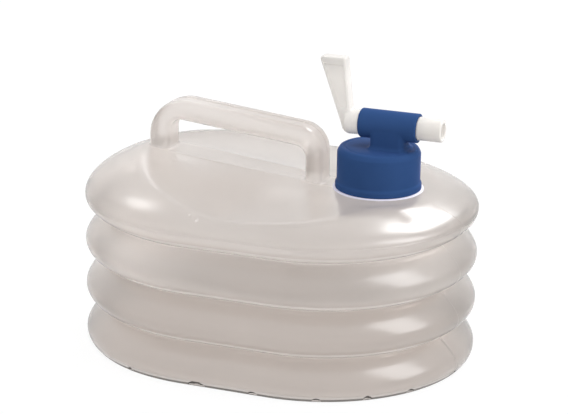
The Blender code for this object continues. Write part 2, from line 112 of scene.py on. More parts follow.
# Distance along the foot from the middle of the front, width and height of each notch
FRONT_NOTCHES = ((-0.1135, 0.0050, 0.0030), (-0.0690, 0.0050, 0.0028), (-0.0183, 0.0120, 0.0034),
                 (0.0213, 0.0065, 0.0027), (0.0636, 0.0065, 0.0026), (0.0965, 0.0060, 0.0032),
                 (0.1275, 0.0060, 0.0028))
BACK_NOTCH_COUNT = 11
BACK_NOTCH = (0.0070, 0.0028)
UNDER_PAN_ROWS = 3  # the section's first rows, which lie under the pan

# Top surface
DOME_RISE = 0.0258
DOME_RUN = 0.0320
DOME_POWER = 0.52
DOME_LOW_END_SHARE = 0.52
CREASE_ROUND = 0.0022
RIDGE_HALF_WIDTH = 0.0115
RIDGE_Z = 0.1307
RIDGE_X = -0.0840
RIDGE_SLOPE = 0.10
RECESS_RISE = 0.0097
RECESS_ROUND = 0.0200
RECESS_SLOPE_BACK = 0.22
RECESS_SLOPE_FRONT = 0.085
RECESS_SPAN = 0.0800
RECESS_POWER = 2.2
PLATFORM_Z = 0.1188
PLATFORM_RADIUS = 0.0370
PLATFORM_BLEND = 0.0150
TOP_RINGS = 64
TOP_RING_POWER = 1.5
TOP_MIDDLE_INSET = 0.0015
TOP_SKIRT = 0.006  # stands below the crest and is cut off after the remesh

# Moulding lines on the top, in plan, read off the photograph: the crease where the shoulder
# meets the crown, then the ridge's edge
CREASE_LINE = ((-0.0935, -0.0385), (-0.0912, -0.0417), (-0.0782, -0.0600), (-0.0711, -0.0676),
               (-0.0594, -0.0757), (-0.0486, -0.0807), (-0.0401, -0.0871), (-0.0283, -0.0944),
               (-0.0158, -0.0976), (-0.0037, -0.0999), (0.0134, -0.0990), (0.0328, -0.0952),
               (0.0479, -0.0903), (0.0646, -0.0806), (0.0710, -0.0740), (0.0877, -0.0598),
               (0.0965, -0.0458), (0.1010, -0.0330))
RIDGE_LINE = ((-0.0800, -0.0115), (-0.0432, -0.0115), (0.0020, -0.0100), (0.0300, -0.0100),
              (0.0400, -0.0100))
LINE_SIGMA = 0.0010
# Each line with its height at places along x: the crease is a bead at its left end and a groove
# further right, and the ridge's edge is a bead
EMBOSSED = ((CREASE_LINE, ((-0.060, 0.00012), (-0.045, -0.00018), (0.050, -0.00018), (0.062, 0.0))),
            (RIDGE_LINE, ((-0.080, 0.00024), (0.040, 0.00024))))
# Place in plan, radius and height of a small bump and a dent on the front of the shoulder
DIMPLES = ((-0.0245, -0.0962, 0.0013, 0.0006), (-0.0208, -0.0985, 0.0014, -0.0007))
LEAST_LIFT = 0.00001
SURFACE_REACH = 0.002  # only spots this near to the top's surface are lifted

# Grip
GRIP_BACK_X = -0.0940
GRIP_FRONT_X = 0.0325
GRIP_BAR = 0.0142
GRIP_BACK_LEG = 0.0150
GRIP_FRONT_LEG = 0.0120
GRIP_RISE = 0.0368
GRIP_HALF_WIDTH = 0.0110
GRIP_EDGE = 0.0045
GRIP_EDGE_RINGS = 7
GRIP_BACK_RADIUS = 0.0260
GRIP_FRONT_RADIUS = 0.0190
GRIP_HOLE_RADIUS = 0.0080
GRIP_CORNER_STEPS = 14
GRIP_ROOT_Z = 0.1120
# Half width of the zone with the grip's own material, how far it reaches past the grip's ends
# and how far over the crown it starts
GRIP_ZONE_Y = 0.0130
GRIP_ZONE_X = 0.002
GRIP_ZONE_Z = 0.0012

# Neck
NECK_X = 0.0697
NECK_RADIUS = 0.0250
NECK_BORE = 0.0222
NECK_TOP_Z = 0.1422
NECK_EDGE = 0.0006
NECK_EDGE_MIDDLE = 0.0002
NECK_BORE_EDGE = 0.0005
NECK_RING_RADIUS = 0.0305
NECK_RING_SINK = 0.0004
NECK_RING_GAP = 0.00008
NECK_RING_EDGE = 0.0002
NECK_CUT_BELOW = 0.006
NECK_CUT_ABOVE = 0.003
THREAD_Z = 0.1245
THREAD_PITCH = 0.0045
THREAD_HEIGHT = 0.0012
THREAD_LEAST_HEIGHT = 0.00003
THREAD_ROOT = 0.0002
THREAD_FOOT_HALF = 0.00085
THREAD_CREST_HALF = 0.00035
THREAD_STEPS = 60
THREAD_FADE_STEPS = 14
NECK_THREAD_TURNS = 3.2
CAP_THREAD_TURNS = 3.0

# Barrel, drain and side port
BARREL_START_X = 0.0568
BARREL_END_X = 0.0970
BARREL_MIDDLE_X = (BARREL_START_X + BARREL_END_X) / 2
BARREL_Z = 0.1625
BARREL_RADIUS = 0.0098
BARREL_BORE = 0.0076
BARREL_LIP = 0.0006
DRAIN_RADIUS = 0.0042
PORT_RADIUS = 0.0038
CUT_PAST = 0.002  # how far a cutter stands out of what it cuts
AXIS_RADIUS = 0.0001  # next to the axis, where a turned form closes

# Cap
CAP_BASE_Z = 0.1193
CAP_RADIUS = 0.0290
CAP_SKIRT_RADIUS = 0.0280
CAP_BORE = 0.0266
CAP_BAND = 0.0042
CAP_BAND_SHARE = 0.9
CAP_FLARE_Z = CAP_BASE_Z + CAP_BAND * CAP_BAND_SHARE
CAP_STEP = 0.0012
CAP_SIDE_Z = 0.1438
CAP_TOP_Z = 0.1474
CAP_CEILING_Z = 0.1447
CAP_TOP_RADIUS = 0.0262
CAP_SHOULDER = (0.0009, 0.0018)
CAP_TOP_EDGE = (0.0012, 0.00045)
CAP_GROOVE_RADIUS = 0.0227
CAP_GROOVE_DEPTH = 0.0007
CAP_GROOVE_HALF = 0.0006
# Radius, height and corner rounding along the cap's section
CAP_SECTION = (
    (AXIS_RADIUS, CAP_CEILING_Z, 0), (CAP_BORE, CAP_CEILING_Z, 0), (CAP_BORE, CAP_BASE_Z, 0.0003),
    (CAP_RADIUS, CAP_BASE_Z, 0.0005), (CAP_RADIUS, CAP_FLARE_Z, 0.0030),
    (CAP_SKIRT_RADIUS, CAP_FLARE_Z + CAP_STEP, 0.0030), (CAP_SKIRT_RADIUS, CAP_SIDE_Z, 0.002),
    (CAP_SKIRT_RADIUS - CAP_SHOULDER[0], CAP_SIDE_Z + CAP_SHOULDER[1], 0.002),
    (CAP_TOP_RADIUS, CAP_TOP_Z - CAP_TOP_EDGE[1], 0.0006),
    (CAP_TOP_RADIUS - CAP_TOP_EDGE[0], CAP_TOP_Z, 0.0006),
    (CAP_GROOVE_RADIUS + CAP_GROOVE_HALF, CAP_TOP_Z, 0),
    (CAP_GROOVE_RADIUS, CAP_TOP_Z - CAP_GROOVE_DEPTH, 0),
    (CAP_GROOVE_RADIUS - CAP_GROOVE_HALF, CAP_TOP_Z, 0), (AXIS_RADIUS, CAP_TOP_Z, 0))
CAP_CORNER_STEPS = 6
STUB_EDGE = 0.0036
STUB_EDGE_STEPS = 8
# Half length along the barrel, half width and height of the stub's sections, from the cap's top
# to the barrel
STUB_SECTIONS = ((0.0136, 0.0108, 0.1460), (0.0136, 0.0108, 0.1474), (0.0126, 0.0098, 0.1478),
                 (0.0119, 0.0091, 0.1487), (0.0116, 0.0088, 0.1500), (0.0116, 0.0088, 0.1530),
                 (0.0119, 0.0090, 0.1560), (0.0125, 0.0094, 0.1590), (0.0128, 0.0096, 0.1625))

# Lever and spout
SPINDLE_RADIUS = 0.0073
SPINDLE_BORE = 0.0050
BORE_START_X = 0.0668
HUB_RADIUS = 0.0084
HUB_START_X = 0.0467
HUB_END_X = 0.0565
HUB_GROOVES = (0.0521, 0.0537, 0.0553)
HUB_GROOVE_DEPTH = 0.0006
HUB_GROOVE_HALF = 0.0004
BEAD_RADIUS = 0.0080
BEAD_START_X = 0.0971
BEAD_LENGTH = 0.0008
SPOUT_RADIUS = 0.0077
SPOUT_END_X = 0.1136
# Radius, place along the barrel and corner rounding, before and after the hub's grooves
HUB_SECTION = ((AXIS_RADIUS, HUB_START_X, 0), (HUB_RADIUS, HUB_START_X, 0.0022))
SPOUT_SECTION = (
    (HUB_RADIUS, HUB_END_X, 0.0005), (SPINDLE_RADIUS, HUB_END_X, 0),
    (SPINDLE_RADIUS, BEAD_START_X, 0), (BEAD_RADIUS, BEAD_START_X, 0.0003),
    (BEAD_RADIUS, BEAD_START_X + BEAD_LENGTH, 0.0005),
    (SPOUT_RADIUS, BEAD_START_X + 2 * BEAD_LENGTH, 0.0008),
    (SPOUT_RADIUS, SPOUT_END_X, 0.0009), (AXIS_RADIUS, SPOUT_END_X, 0))
SPINDLE_CORNER_STEPS = 4
LEVER_EDGE = 0.0018
LEVER_EDGE_STEPS = 5
LEVER_HALF_WIDTH = 0.0052
# Start along the barrel, length along it, half width and height of the lever's sections
LEVER_SECTIONS = ((0.0458, 0.0050, 0.0026, 0.1551), (0.0446, 0.0064, 0.0044, 0.1576),
                  (0.0434, 0.0078, LEVER_HALF_WIDTH, 0.1625),
                  (0.0284, 0.0178, LEVER_HALF_WIDTH, 0.2040),
                  (0.0287, 0.0172, 0.0049, 0.2053), (0.0294, 0.0160, 0.0042, 0.2058))
# The shallow panel on both broad sides of the lever: start and end along the barrel, and height
LEVER_PANEL = ((0.04187, 0.04816, 0.1720), (0.03131, 0.04464, 0.2012))
PANEL_DEPTH = 0.0007

# Fineness of the round forms and of the skins
NECK_CUT_SIDES = 120
NECK_SIDES = 128
NECK_RING_SIDES = 160
CAP_SIDES = 128
BARREL_SIDES = 96
BORE_SIDES = 64
DRAIN_SIDES = 48
PORT_SIDES = 48
TOP_VOXEL = 0.0008
CAP_VOXEL = 0.00045
TAP_VOXEL = 0.00040
SMOOTH_FACTOR = 0.5
TOP_SMOOTHING = 3
TAP_SMOOTHING = 2
CORNER_REACH = 0.49  # the most that a rounded corner takes of an edge

# Material slots of the walled skins and of the base
INSIDE_SLOT, ACCENT_SLOT, SLOT_COUNT = 1, 2, 4
RIM_SLOT, FOOT_SHADOW_SLOT, SHADE_SLOT, PAN_SLOT = range(4)
# Angles in degrees above which an edge stays sharp
TOP_SHARP, RING_SHARP, THREAD_SHARP = 60.0, 50.0, 30.0

# Plastic
NOISE_DETAIL = {"clouds": 3.0, "streaks": 2.0, "grain": 2.0, "waves": 1.0}
STREAK_FINENESS = 2.3
CLOUD_RANGE = (0.2, 0.8)
GLOSS_RANGE = (0.85, 1.15)
GRAIN_HEIGHT = 0.00001
BOTTLE_CLOUDS, BOTTLE_GRAIN, BOTTLE_WAVES = 16.0, 650.0, 24.0
PART_CLOUDS, PART_GRAIN = 40.0, 900.0
FINE_CLOUDS = 60.0

# Stage: name, place, target, width, height, power and turn in degrees of each lamp
LAMPS = (("softbox_right", (1.00, 0.02, 0.85), (0.06, 0.0, 0.09), 0.56, 0.90, 5.0, 0.0),
         ("softbox_back", (0.28, 0.92, 1.08), (0.04, 0.0, 0.10), 0.35, 0.64, 6.8, 33.0),
         ("softbox_left", (-0.82, 0.14, 1.04), (-0.05, 0.0, 0.09), 0.32, 0.32, 1.1, 0.0),
         ("softbox_far_left", (-0.74, 1.52, 1.10), (-0.05, 0.0, 0.09), 0.28, 0.28, 0.35, 0.0))
AMBIENT = 0.95
FLOOR_HALF = 4.0
FLOOR_COLOR = (0.62, 0.62, 0.62, 1.0)
FLOOR_ROUGHNESS = 0.9
FLOOR_GLOW = 1.06
FLOOR_GLOW_SHARE = 0.88
CAMERA_PLACE = Vector((0.4746, -1.2409, 0.5232))
CAMERA_FORWARD = Vector((-0.3385, 0.8898, -0.3061)).normalized()
CAMERA_SIDEWAYS = Vector((0.9332, 0.3592, 0.0121))
SENSOR_WIDTH = 36.0
LENS = 129.35


# ---- mesh helpers ----

def mesh_object(name, rings, close_ends=True, loop=False):
    """Joins rings of points into one mesh. A loop runs from the last ring back to the first."""
    mesh = bmesh.new()
    rows = [[mesh.verts.new(point) for point in ring] for ring in rings]
    pairs = list(zip(rows, rows[1:]))
    if loop:
        pairs.append((rows[-1], rows[0]))
    for low, high in pairs:
        for here in range(len(low)):
            ahead = (here + 1) % len(low)
            mesh.faces.new((low[here], low[ahead], high[ahead], high[here]))
    if close_ends and not loop:
        mesh.faces.new(tuple(reversed(rows[0])))
        mesh.faces.new(rows[-1])
    bmesh.ops.recalc_face_normals(mesh, faces=mesh.faces[:])
    data = bpy.data.meshes.new(name)
    mesh.to_mesh(data)
    mesh.free()
    thing = bpy.data.objects.new(name, data)
    bpy.context.scene.collection.objects.link(thing)
    return thing


def apply_modifiers(thing):
    """Replaces a piece's mesh with what its modifiers make of it."""
    graph = bpy.context.evaluated_depsgraph_get()
    result = bpy.data.meshes.new_from_object(thing.evaluated_get(graph))
    thing.modifiers.clear()
    thing.data = result


def combine(base, other, operation):
    """Unites a piece with another solid, or cuts that solid out of it, and removes the other."""
    step = base.modifiers.new("combine", "BOOLEAN")
    step.operation = operation
    step.solver = "EXACT"
    step.object = other
    apply_modifiers(base)
    bpy.data.objects.remove(other, do_unlink=True)


def remesh(thing, voxel, smooth_repeats):
    """Turns the joined solids into one even skin with soft fillets where they meet."""
    step = thing.modifiers.new("remesh", "REMESH")
    step.mode = "VOXEL"
    step.voxel_size = voxel
    soften = thing.modifiers.new("soften", "SMOOTH")
    soften.factor = SMOOTH_FACTOR
    soften.iterations = smooth_repeats
    apply_modifiers(thing)


def hollow(thing, thickness):
    """Gives an open skin its wall, inwards. Inner faces and edges get the next material."""
    step = thing.modifiers.new("wall", "SOLIDIFY")
    step.thickness = thickness
    step.offset = -1.0
    step.use_even_offset = True
    step.material_offset = INSIDE_SLOT
    step.material_offset_rim = INSIDE_SLOT
    while len(thing.data.materials) < SLOT_COUNT:
        thing.data.materials.append(None)
    apply_modifiers(thing)


def join(base, other):
    """Adds another closed solid to a piece's mesh."""
    mesh = bmesh.new()
    mesh.from_mesh(base.data)
    mesh.from_mesh(other.data)
    mesh.to_mesh(base.data)
    mesh.free()
    bpy.data.objects.remove(other, do_unlink=True)


def dress(thing, materials, body, replaced=(), sharp_angle=None):
    """Puts a piece's materials on and ties it to its body and the nodes it replaces."""
    sides = [face.material_index for face in thing.data.polygons]
    thing.data.materials.clear()
    for material in materials:
        thing.data.materials.append(material)
    for face, side in zip(thing.data.polygons, sides):
        face.material_index = min(side, len(materials) - 1)
    thing.data.shade_smooth()
    if sharp_angle is not None:
        thing.data.set_sharp_from_angle(angle=math.radians(sharp_angle))
    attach(thing, body)
    if replaced:
        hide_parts(*replaced)
    return thing


# ---- rings, corners and parting lines ----

def around(steps):
    """Cosine and sine of evenly spaced turns."""
    angles = [math.tau * step / steps for step in range(steps)]
    return [(math.cos(angle), math.sin(angle)) for angle in angles]


def circle(radius, height, steps, centre_x):
    """A level ring."""
    return [(centre_x + radius * cosine, radius * sine, height) for cosine, sine in around(steps)]


def side_circle(radius, along, steps):
    """A ring around the barrel's axis."""
    return [(along, radius * cosine, BARREL_Z + radius * sine) for cosine, sine in around(steps)]


def port_circle(radius, y, steps):
    """A ring around the level line that crosses the barrel at its middle."""
    return [(BARREL_MIDDLE_X + radius * cosine, y, BARREL_Z + radius * sine)
            for cosine, sine in around(steps)]


def block_ring(low_x, high_x, half_y, edge, height, steps):
    """A level rectangle with round corners, from the places of its corners' centres."""
    ring = []
    for turn, x, y in ((0, high_x, half_y), (1, low_x, half_y), (2, low_x, -half_y),
                       (3, high_x, -half_y)):
        for step in range(steps + 1):
            angle = math.pi / 2 * (turn + step / steps)
            ring.append((x + edge * math.cos(angle), y + edge * math.sin(angle), height))
    return ring


def rounded(corners, steps):
    """A flat line of (x, y, radius) corners as points, each corner rounded by its radius."""
    spots = [corner[:2] for corner in corners]
    result = [spots[0]]
    for index in range(1, len(spots) - 1):
        corner = Vector(spots[index])
        before = Vector(spots[index - 1]) - corner
        after = Vector(spots[index + 1]) - corner
        radius = corners[index][2]
        if radius <= 0:
            result.append(tuple(corner))
            continue
        half = before.angle(after) / 2
        reach = min(radius / math.tan(half), before.length * CORNER_REACH,
                    after.length * CORNER_REACH)
        start = corner + before.normalized() * reach
        end = corner + after.normalized() * reach
        for step in range(steps + 1):
            share = step / steps
            first = start.lerp(corner, share)
            second = corner.lerp(end, share)
            result.append(tuple(first.lerp(second, share)))
    result.append(spots[-1])
    return result


def fillet(before, corner, after, radius, steps):
    """The points of a true arc that rounds the corner between two other points."""
    corner = Vector(corner)
    towards_before = (Vector(before) - corner).normalized()
    towards_after = (Vector(after) - corner).normalized()
    half = towards_before.angle(towards_after) / 2
    centre = corner + (towards_before + towards_after).normalized() * (radius / math.sin(half))
    start = corner + towards_before * (radius / math.tan(half)) - centre
    end = corner + towards_after * (radius / math.tan(half)) - centre
    sweep = math.atan2(start.x * end.y - start.y * end.x, start.dot(end))
    points = []
    for step in range(steps + 1):
        angle = sweep * step / steps
        cosine, sine = math.cos(angle), math.sin(angle)
        points.append(centre + Vector((start.x * cosine - start.y * sine,
                                       start.x * sine + start.y * cosine)))
    return points


def runs(path):
    """The direction of a path at each of its points."""
    last = len(path) - 1
    return [path[min(index + 1, last)] - path[max(index - 1, 0)] for index in range(len(path))]


def seam(points, outward, across):
    """A fine moulding line: a closed three-sided bead that stands out along the points."""
    rings = []
    for point, out in zip(points, outward):
        foot = point - out * SEAM_HEIGHT * SEAM_ROOT
        rings.append([tuple(foot + across * SEAM_HALF_WIDTH), tuple(point + out * SEAM_HEIGHT),
                      tuple(foot - across * SEAM_HALF_WIDTH)])
    bead = mesh_object("seam", rings)
    for face in bead.data.polygons:
        face.material_index = ACCENT_SLOT
    return bead


def end_turn(side):
    """The angle at which the parting line runs down the right (1) or the left (-1) end."""
    return SEAM_TURN if side > 0 else SEAM_TURN + math.pi


def end_seam(profile, side):
    """The mould's parting line down one rounded end, from (inset, z) points."""
    turn = end_turn(side)
    radial = Vector((math.cos(turn), math.sin(turn), 0.0))
    across = Vector((-math.sin(turn), math.cos(turn), 0.0))
    centre = Vector((side * HALF_STRAIGHT, 0.0, 0.0))
    points = [centre + radial * (CREST_RADIUS - inset) + Vector((0, 0, height))
              for inset, height in profile]
    outward = []
    for run in runs(points):
        out = run.cross(across)
        out.normalize()
        outward.append(out if out.dot(radial + SEAM_UPWARD) > 0 else -out)
    return seam(points, outward, across)


# ---- bottle ----

def outline(inset):
    """The bottle's outline drawn in by inset, as (x, y) points."""
    radius = CREST_RADIUS - inset
    points = []
    for side, turn in ((1.0, -0.5), (-1.0, 0.5)):
        for step in range(END_STEPS + 1):
            angle = math.pi * (turn + step / END_STEPS)
            points.append((side * HALF_STRAIGHT + radius * math.cos(angle),
                           radius * math.sin(angle)))
        for step in range(1, STRAIGHT_STEPS):
            share = 1.0 - 2.0 * step / STRAIGHT_STEPS
            points.append((side * HALF_STRAIGHT * share, side * radius))
    return points


def crest_z(lobe):
    """The height of a lobe's crest, counted from the lowest lobe, 0."""
    return FIRST_VALLEY_Z + (lobe - 1) * FOLD_PITCH + CREST_RISE


def foot_inset(height):
    """How far the lowest lobe's wall is drawn in at a height below its crest."""
    crest = crest_z(0)
    return BASE_INSET * ((crest - height) / crest) ** LOWER_POWER


def flank(share, power):
    """Depth share along a flank: round at the crest, then as the CAD's power curve."""
    soft = share * share / (share * share + CREST_SOFTNESS ** 2) ** (1.0 - power / 2.0)
    return soft * (1.0 + CREST_SOFTNESS ** 2) ** (1.0 - power / 2.0)


def lower_shares():
    """Steps from just above a valley up to just below its crest, with the painted light line's own.
    """
    low, high = PAINTED_LIGHT_SHARES
    shares = [1.0 - step / FLANK_STEPS for step in range(1, FLANK_STEPS)]
    shares = [share for share in shares if not low <= share <= high]
    return sorted(shares + [low, (low + high) / 2, high], reverse=True)


def bellows_profile():
    """(inset, z, on the painted light line) points from the base pan up to the top lobe's crest."""
    points = []
    for lobe in range(LOBES):
        crest = crest_z(lobe)
        if lobe == 0:
            for step in range(LOWEST_FLANK_STEPS):
                height = PAN_HEIGHT + (crest - PAN_HEIGHT) * step / LOWEST_FLANK_STEPS
                points.append((foot_inset(height), height, False))
        else:
            valley = crest - CREST_RISE
            points.append((FOLD_DEPTH - HINGE_RELIEF, valley - HINGE_HALF_HEIGHT, False))
            points.append((FOLD_DEPTH, valley, False))
            points.append((FOLD_DEPTH - HINGE_RELIEF, valley + HINGE_HALF_HEIGHT, False))
            for share in lower_shares():
                painted_fold_light = PAINTED_LIGHT_SHARES[0] <= share <= PAINTED_LIGHT_SHARES[1]
                points.append((FOLD_DEPTH * share ** LOWER_POWER, crest - share * CREST_RISE,
                               painted_fold_light))
        points.append((0.0, crest, False))
        if lobe < LOBES - 1:
            for step in range(1, FLANK_STEPS):
                share = step / FLANK_STEPS
                points.append((FOLD_DEPTH * flank(share, UPPER_POWER),
                               crest + share * (FOLD_PITCH - CREST_RISE), False))
    return points


def build_bellows():
    """The four lobes as one walled skin, open at both ends, with the parting line."""
    profile = bellows_profile()
    rings = [[(x, y, height) for x, y in outline(inset)] for inset, height, _ in profile]
    bellows = mesh_object("bottle_bellows", rings, close_ends=False)
    width = len(rings[0])
    # Faces between two points of the painted light line get the lighter, painted-light material
    for row in range(len(profile) - 1):
        if profile[row][2] and profile[row + 1][2]:
            for face in range(row * width, (row + 1) * width):
                bellows.data.polygons[face].material_index = ACCENT_SLOT
    hollow(bellows, WALL)
    for side in (1.0, -1.0):
        join(bellows, end_seam([(inset, height) for inset, height, _ in profile], side))
    return bellows


def build_base():
    """The pan and its foot rim, with arched drain notches pressed into the rim's outer side."""
    bend_radius = CREST_RADIUS - BASE_INSET
    bend = bend_radius * math.pi
    perimeter = 4 * HALF_STRAIGHT + 2 * bend

    def signed(distance):
        """A distance along the foot from the middle of the front, negative towards the left."""
        return (distance + perimeter / 2) % perimeter - perimeter / 2

    def place(distance, inset):
        """The point in plan at a distance along the foot, drawn in by inset."""
        radius = CREST_RADIUS - inset
        distance = signed(distance)
        mirrored = -1.0 if distance < 0 else 1.0
        distance = abs(distance)
        if distance <= HALF_STRAIGHT:
            return mirrored * distance, -radius
        if distance <= HALF_STRAIGHT + bend:
            angle = (distance - HALF_STRAIGHT) / bend_radius - math.pi / 2
            return mirrored * (HALF_STRAIGHT + radius * math.cos(angle)), radius * math.sin(angle)
        return mirrored * (2 * HALF_STRAIGHT + bend - distance), radius

    notches = list(FRONT_NOTCHES)
    gap = (perimeter - (FRONT_NOTCHES[-1][0] - FRONT_NOTCHES[0][0])) / (BACK_NOTCH_COUNT + 1)
    for index in range(BACK_NOTCH_COUNT):
        notches.append((FRONT_NOTCHES[-1][0] + gap * (index + 1), *BACK_NOTCH))

    def pressed(distance, height):
        """How far into a notch a point lies, 0 outside and 1 well inside, and if it is shaded."""
        deepest, shaded = 0.0, False
        for middle, width, tall in notches:
            away = abs(signed(distance - middle))
            rise = (height - NOTCH_FLOOR_Z) / tall
            if away < width / 2 and 0.0 < rise < 1.0:
                reach = width / 2 * math.sqrt(1.0 - rise * rise) - away
                deepest = max(deepest, min(reach / NOTCH_PRESS_WIDTH, 1.0))
                outer = rise * rise + (2 * away / width) ** 2 > NOTCH_SHADE_REACH
                shaded = reach > 0.0 and rise > NOTCH_SHADE_RISE and outer
        return deepest, shaded

    inner = BASE_INSET + RIM_WIDTH
    section = [(inner + PAN_RECESS + PAN_EDGE_WIDTH, PAN_RECESS), (inner + PAN_RECESS, PAN_RECESS)]
    section += [(inner + inwards, height) for inwards, height in RIM_INNER_EDGE]
    section += [(BASE_INSET + inwards, height) for inwards, height in RIM_OUTER_EDGE]
    heights = [NOTCH_FLOOR_Z + NOTCH_FIRST_ROW + NOTCH_ROW_HEIGHT * row
               for row in range(NOTCH_ROWS)]
    heights = [FOOT_LOW_Z, NOTCH_FLOOR_Z, *heights, PAN_HEIGHT]
    section += [(foot_inset(height), height) for height in heights]
    rings, presses = [], []
    for inset, height in section:
        ring, row = [], []
        outside = inset < BASE_INSET and height < PAN_HEIGHT
        for step in range(FOOT_STEPS):
            distance = perimeter * step / FOOT_STEPS
            depth, shaded = pressed(distance, height) if outside else (0.0, False)
            x, y = place(distance, inset + NOTCH_DEPTH * depth)
            ring.append((x, y, height))
            row.append((depth, shaded))
        rings.append(ring)
        presses.append(row)
    base = mesh_object("bottle_base", rings)
    # The foot's lowest band gets a painted contact shadow, and the notches' upper inner walls
    # painted shade
    for row in range(len(section) - 1):
        foot = section[row][0] <= BASE_INSET + RIM_ROUND and section[row + 1][1] <= FOOT_SHADOW_Z
        for step in range(FOOT_STEPS):
            depth, shaded = presses[row + 1][step]
            if row < UNDER_PAN_ROWS:
                side = PAN_SLOT
            elif shaded:
                side = SHADE_SLOT
            elif foot and depth < FOOT_SHADOW_PRESS_LIMIT:
                side = FOOT_SHADOW_SLOT
            else:
                side = RIM_SLOT
            base.data.polygons[row * FOOT_STEPS + step].material_index = side
    for cover in list(base.data.polygons)[-2:]:
        cover.material_index = PAN_SLOT
    return base


def dome_z(x, inset):
    """The height of the shoulder, which falls towards the cap's end."""
    half_length = HALF_STRAIGHT + CREST_RADIUS
    share = 1.0 - (1.0 - DOME_LOW_END_SHARE) * (x + half_length) / (2 * half_length)
    return CREST_Z + DOME_RISE * share * (max(inset, 0.0) / DOME_RUN) ** DOME_POWER


def crown_z(x, y):
    """The height of the crown: ridge, finger recesses and the neck's platform."""
    ridge = max(RIDGE_Z - RIDGE_SLOPE * (x - RIDGE_X), PLATFORM_Z)
    slope = RECESS_SLOPE_BACK if x < 0 else RECESS_SLOPE_FRONT
    recess = CREST_Z + RECESS_RISE + slope * (math.hypot(x, RECESS_ROUND) - RECESS_ROUND)
    share = min(max((abs(y) - RIDGE_HALF_WIDTH) / RECESS_SPAN, 0.0), 1.0)
    height = recess + (ridge - recess) * (1.0 - share) ** RECESS_POWER
    away = (math.hypot(x - NECK_X, y) - PLATFORM_RADIUS) / PLATFORM_BLEND
    blend = min(max(1.0 - away, 0.0), 1.0)
    blend = blend * blend * (3 - 2 * blend)
    return height + (PLATFORM_Z - height) * blend


def top_z(x, y, inset):
    """The lower of shoulder and crown, rounded where they meet."""
    shoulder, crown = dome_z(x, inset), crown_z(x, y)
    share = min(max((crown - shoulder) / CREASE_ROUND / 2 + 0.5, 0.0), 1.0)
    return crown + (shoulder - crown) * share - CREASE_ROUND * share * (1.0 - share)


def grip_outline(inset):
    """Side outline of the grip, drawn in by inset: its outer side, then its opening."""
    lean = math.hypot(1.0, RIDGE_SLOPE)

    def top(x):
        """The height of the bar's upper side."""
        return RIDGE_Z + GRIP_RISE - RIDGE_SLOPE * (x - RIDGE_X) - inset * lean

    def under(x):
        """The height of its lower side."""
        return top(x) - (GRIP_BAR - 2 * inset) * lean

    back, front = GRIP_BACK_X + inset, GRIP_FRONT_X - inset
    hole_back = GRIP_BACK_X + GRIP_BACK_LEG - inset
    hole_front = GRIP_FRONT_X - GRIP_FRONT_LEG + inset
    root, steps = GRIP_ROOT_Z, GRIP_CORNER_STEPS
    corners = ((back, top(back)), (front, top(front)),
               (hole_front, under(hole_front)), (hole_back, under(hole_back)))
    points = [Vector((back, root))]
    points += fillet((back, root), corners[0], corners[1], GRIP_BACK_RADIUS - inset, steps)
    points += fillet(corners[0], corners[1], (front, root), GRIP_FRONT_RADIUS - inset, steps)
    points += [Vector((front, root)), Vector((hole_front, root))]
    points += fillet((hole_front, root), corners[2], corners[3], GRIP_HOLE_RADIUS + inset, steps)
    points += fillet(corners[2], corners[3], (hole_back, root), GRIP_HOLE_RADIUS + inset, steps)
    points.append(Vector((hole_back, root)))
    return points


def build_grip():
    """The solid grip with rounded edges, its legs rooted in the crown."""
    rings = []
    steps = range(GRIP_EDGE_RINGS)
    for side, order in ((-1.0, steps), (1.0, reversed(steps))):
        for step in order:
            angle = math.pi / 2 * step / (GRIP_EDGE_RINGS - 1)
            inset = GRIP_EDGE * (1.0 - math.sin(angle))
            y = side * (GRIP_HALF_WIDTH - GRIP_EDGE * (1.0 - math.cos(angle)))
            rings.append([(point.x, y, point.y) for point in grip_outline(inset)])
    return mesh_object("grip", rings)


def emboss(thing):
    """Raises the moulding lines on both long sides and the dimples on the front."""
    count = len(thing.data.vertices)
    flat = np.empty(count * 3)
    thing.data.vertices.foreach_get("co", flat)
    spots = flat.reshape(-1, 3)
    plan = np.stack([spots[:, 0], -np.abs(spots[:, 1])], axis=1)
    lift = np.zeros(count)
    for line, heights in EMBOSSED:
        height = np.interp(plan[:, 0], [x for x, _ in heights], [rise for _, rise in heights])
        nearest = np.full(count, np.inf)
        for first, second in zip(line, line[1:]):
            start, run = np.array(first), np.array(second) - np.array(first)
            share = np.clip(((plan - start) @ run) / (run @ run), 0.0, 1.0)
            away = np.linalg.norm(plan - start - share[:, None] * run, axis=1)
            nearest = np.minimum(nearest, away)
        lift += height * np.exp(-(nearest / LINE_SIGMA) ** 2)
    for x, y, radius, height in DIMPLES:
        away = np.hypot(spots[:, 0] - x, spots[:, 1] - y)
        lift += height * np.exp(-(away / radius) ** 2)
    for index in np.nonzero(np.abs(lift) > LEAST_LIFT)[0]:
        x, y, z = spots[index]
        inset = CREST_RADIUS - math.hypot(max(abs(x) - HALF_STRAIGHT, 0.0), y)
        if abs(z - top_z(x, y, inset)) < SURFACE_REACH:
            spots[index, 2] += lift[index]
    thing.data.vertices.foreach_set("co", spots.reshape(-1))
    thing.data.update()


def mark_grip(thing):
    """Puts the faces of the grip on their own material."""
    low_x, high_x = GRIP_BACK_X - GRIP_ZONE_X, GRIP_FRONT_X + GRIP_ZONE_X
    for face in thing.data.polygons:
        x, y, z = face.center
        over = z > crown_z(x, y) + GRIP_ZONE_Z
        if abs(y) < GRIP_ZONE_Y and low_x < x < high_x and over:
            face.material_index = ACCENT_SLOT


def grip_seam():
    """The parting line over the top of the grip."""
    outer = grip_outline(0.0)[:2 * (GRIP_CORNER_STEPS + 1) + 2]
    path = [Vector((point.x, GRIP_SEAM_Y, point.y)) for point in outer
            if point.y > crown_z(point.x, 0.0)]
    outward = []
    for run in runs(path):
        out = Vector((-run.z, 0.0, run.x))
        out.normalize()
        outward.append(out)
    return seam(path, outward, Vector((0.0, 1.0, 0.0)))


